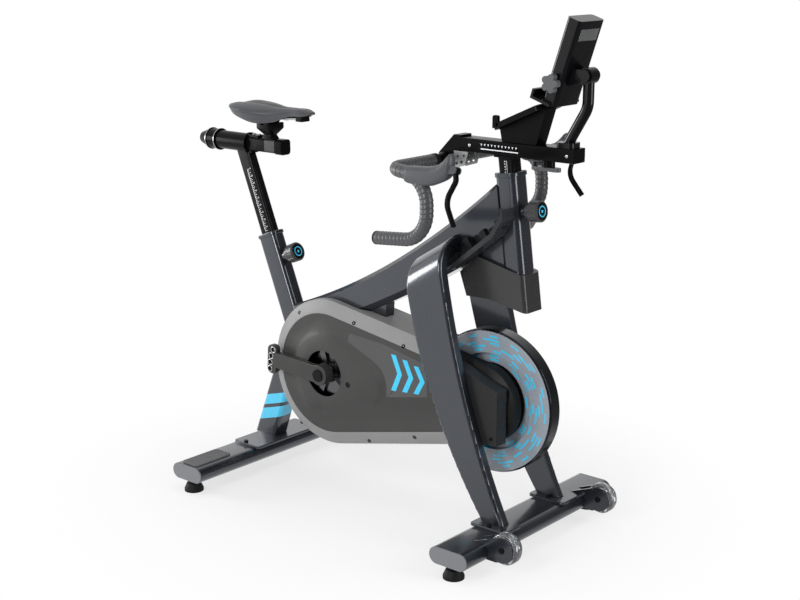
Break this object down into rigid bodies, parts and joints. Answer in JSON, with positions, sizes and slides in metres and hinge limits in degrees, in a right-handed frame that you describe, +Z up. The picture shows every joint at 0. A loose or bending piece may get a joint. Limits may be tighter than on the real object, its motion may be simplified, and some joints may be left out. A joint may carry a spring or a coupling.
{
  "type": "exercise bike",
  "caption": "Studio exercise bike with belt-driven flywheel between arched legs, sliding seat and drop handlebar, and a tablet holder on a bent arm.",
  "frame": {"origin": "centre of the overall box, on the floor under the levelling feet", "axes": "+X forward, +Y to the rider's left, +Z up"},
  "size_m": [1.252, 0.646, 1.2388],
  "materials": {
    "frame_paint": "satin metallic dark blue-grey",
    "black_metal": "satin black",
    "black_alloy": "satin black anodised",
    "steel": "satin",
    "polished": "polished",
    "flywheel_iron": "painted grey, machined rim",
    "cover_grey": "fine texture",
    "panel_dark": "fine texture",
    "black_plastic": "fine texture",
    "cap_grey": "fine texture",
    "black_rubber": "matte",
    "grip_grey": "ribbed",
    "saddle_grey": "soft synthetic cover",
    "wheel_clear": "clear polyurethane"
  },
  "bodies": {
    "frame": {"rear_stabiliser": "frame_paint", "front_stabiliser": "frame_paint", "stabiliser_end_caps": "cap_grey", "rear_grip_pads": "black_rubber", "base_plates": "black_metal", "frame_fasteners": "steel", "rear_leg": "frame_paint", "seat_tube": "frame_paint", "main_beam": "frame_paint", "head_tube": "frame_paint", "front_leg_right": "frame_paint", "front_leg_left": "frame_paint", "drive_frame": "frame_paint", "tube_bushes": "black_plastic", "chin_cover": "panel_dark", "bottle_trays": "black_plastic", "belt_cover_right": "cover_grey", "belt_cover_left": "cover_grey", "cover_panels": "panel_dark", "axle_supports": "panel_dark", "bearings": "steel", "drive_belt": "black_rubber", "brake_magnet": "steel", "wheel_forks": "black_metal"},
    "crank": {"crank_spindle": "steel", "crank_arm_right": "black_alloy", "crank_arm_left": "black_alloy", "drive_pulley": "black_alloy"},
    "flywheel": {"flywheel": "flywheel_iron", "flywheel_shaft": "steel"},
    "transport_wheel_right": {"transport_wheel_right": "wheel_clear"},
    "transport_wheel_left": {"transport_wheel_left": "wheel_clear"},
    "levelling_foot_front_right": {"levelling_foot_front_right": "black_rubber"},
    "levelling_foot_front_left": {"levelling_foot_front_left": "black_rubber"},
    "levelling_foot_rear_right": {"levelling_foot_rear_right": "black_rubber"},
    "levelling_foot_rear_left": {"levelling_foot_rear_left": "black_rubber"},
    "seatpost": {"seatpost": "black_metal", "seat_housing": "black_alloy"},
    "seat_slide": {"seat_bar": "black_alloy", "seat_bar_sleeve": "polished"},
    "saddle": {"saddle_clamp": "black_alloy", "saddle_rails": "steel", "saddle_shell": "black_plastic", "saddle_pad": "saddle_grey"},
    "seat_lock_knob": {"seat_lock_knob": "black_plastic"},
    "seat_height_knob": {"seat_height_knob": "black_plastic"},
    "bar_post": {"bar_post": "black_metal"},
    "bar_slide": {"bar_slider": "black_alloy", "bar_stem": "black_alloy", "handlebar": "black_alloy", "bar_tape": "grip_grey", "lever_hoods": "grip_grey", "accessory_shelf": "black_plastic", "console_arm": "black_metal"},
    "brake_lever_right": {"brake_lever_right": "black_alloy"},
    "brake_lever_left": {"brake_lever_left": "black_alloy"},
    "bar_height_knob": {"bar_height_knob": "black_plastic"},
    "bar_lock_lever": {"bar_lock_lever": "black_plastic"},
    "tablet_holder": {"tablet_holder": "black_plastic"},
    "tablet_knob": {"tablet_knob": "black_plastic"}
  },
  "joints": [
    {"name": "flywheel_spin", "type": "hinge", "parent": "frame", "child": "flywheel", "pos_m": [0.37197, 0, 0.334], "axis": [0, 1, 0], "continuous": true},
    {"name": "crank_turn", "type": "hinge", "parent": "frame", "child": "crank", "pos_m": [-0.11803, 0, 0.316], "axis": [0, 1, 0], "continuous": true},
    {"name": "transport_wheel_right_spin", "type": "hinge", "parent": "frame", "child": "transport_wheel_right", "pos_m": [0.55697, -0.197, 0.071], "axis": [0, 1, 0], "continuous": true},
    {"name": "transport_wheel_left_spin", "type": "hinge", "parent": "frame", "child": "transport_wheel_left", "pos_m": [0.55697, 0.197, 0.071], "axis": [0, 1, 0], "continuous": true},
    {"name": "levelling_foot_front_right_turn", "type": "hinge", "parent": "frame", "child": "levelling_foot_front_right", "pos_m": [0.46697, -0.273, 0], "axis": [0, 0, 1], "range_deg": [-360, 360]},
    {"name": "levelling_foot_front_left_turn", "type": "hinge", "parent": "frame", "child": "levelling_foot_front_left", "pos_m": [0.46697, 0.273, 0], "axis": [0, 0, 1], "range_deg": [-360, 360]},
    {"name": "levelling_foot_rear_right_turn", "type": "hinge", "parent": "frame", "child": "levelling_foot_rear_right", "pos_m": [-0.37603, -0.298, 0], "axis": [0, 0, 1], "range_deg": [-360, 360]},
    {"name": "levelling_foot_rear_left_turn", "type": "hinge", "parent": "frame", "child": "levelling_foot_rear_left", "pos_m": [-0.37603, 0.298, 0], "axis": [0, 0, 1], "range_deg": [-360, 360]},
    {"name": "seat_height", "type": "slide", "parent": "frame", "child": "seatpost", "axis": [-0.3746, 0, 0.9272], "range_m": [-0.165, 0.1]},
    {"name": "seat_fore_aft", "type": "slide", "parent": "seatpost", "child": "seat_slide", "axis": [1, 0, 0], "range_m": [-0.008, 0.06]},
    {"name": "saddle_tilt", "type": "hinge", "parent": "seat_slide", "child": "saddle", "pos_m": [-0.36767, 0, 0.944], "axis": [0, 1, 0], "range_deg": [-12, 12]},
    {"name": "seat_lock_turn", "type": "hinge", "parent": "seatpost", "child": "seat_lock_knob", "pos_m": [-0.59193, 0, 0.872], "axis": [1, 0, 0], "range_deg": [0, 120]},
    {"name": "seat_height_knob_turn", "type": "hinge", "parent": "frame", "child": "seat_height_knob", "pos_m": [-0.32039, 0, 0.58394], "axis": [0.9272, 0, 0.3746], "range_deg": [0, 180]},
    {"name": "bar_height", "type": "slide", "parent": "frame", "child": "bar_post", "axis": [-0.1305, 0, 0.9914], "range_m": [-0.025, 0.13]},
    {"name": "bar_fore_aft", "type": "slide", "parent": "bar_post", "child": "bar_slide", "axis": [1, 0, 0], "range_m": [-0.03, 0.064]},
    {"name": "brake_lever_right_pull", "type": "hinge", "parent": "bar_slide", "child": "brake_lever_right", "pos_m": [0.41897, -0.22, 0.914], "axis": [0, 0.9703, -0.2419], "range_deg": [0, 20], "stiffness_Nm_per_rad": 1, "springref_deg": -17.19},
    {"name": "brake_lever_left_pull", "type": "hinge", "parent": "bar_slide", "child": "brake_lever_left", "pos_m": [0.41897, 0.22, 0.914], "axis": [0, 0.9703, 0.2419], "range_deg": [0, 20], "stiffness_Nm_per_rad": 1, "springref_deg": -17.19},
    {"name": "bar_height_knob_turn", "type": "hinge", "parent": "frame", "child": "bar_height_knob", "pos_m": [0.44543, 0, 0.79636], "axis": [0.9914, 0, 0.1305], "range_deg": [0, 180]},
    {"name": "bar_lock_turn", "type": "hinge", "parent": "bar_slide", "child": "bar_lock_lever", "pos_m": [0.50897, 0, 0.905], "axis": [0, 0, 1], "range_deg": [0, 90]},
    {"name": "tablet_tilt", "type": "hinge", "parent": "bar_slide", "child": "tablet_holder", "pos_m": [0.60797, 0, 1.112], "axis": [0, 1, 0], "range_deg": [-5, 25]},
    {"name": "tablet_knob_turn", "type": "hinge", "parent": "tablet_holder", "child": "tablet_knob", "pos_m": [0.55075, -0.061, 1.09644], "axis": [0, 1, 0], "range_deg": [0, 180]}
  ],
  "couplings": [
    {"joint": "crank_turn", "follows": "flywheel_spin", "ratio": 0.26667}
  ]
}
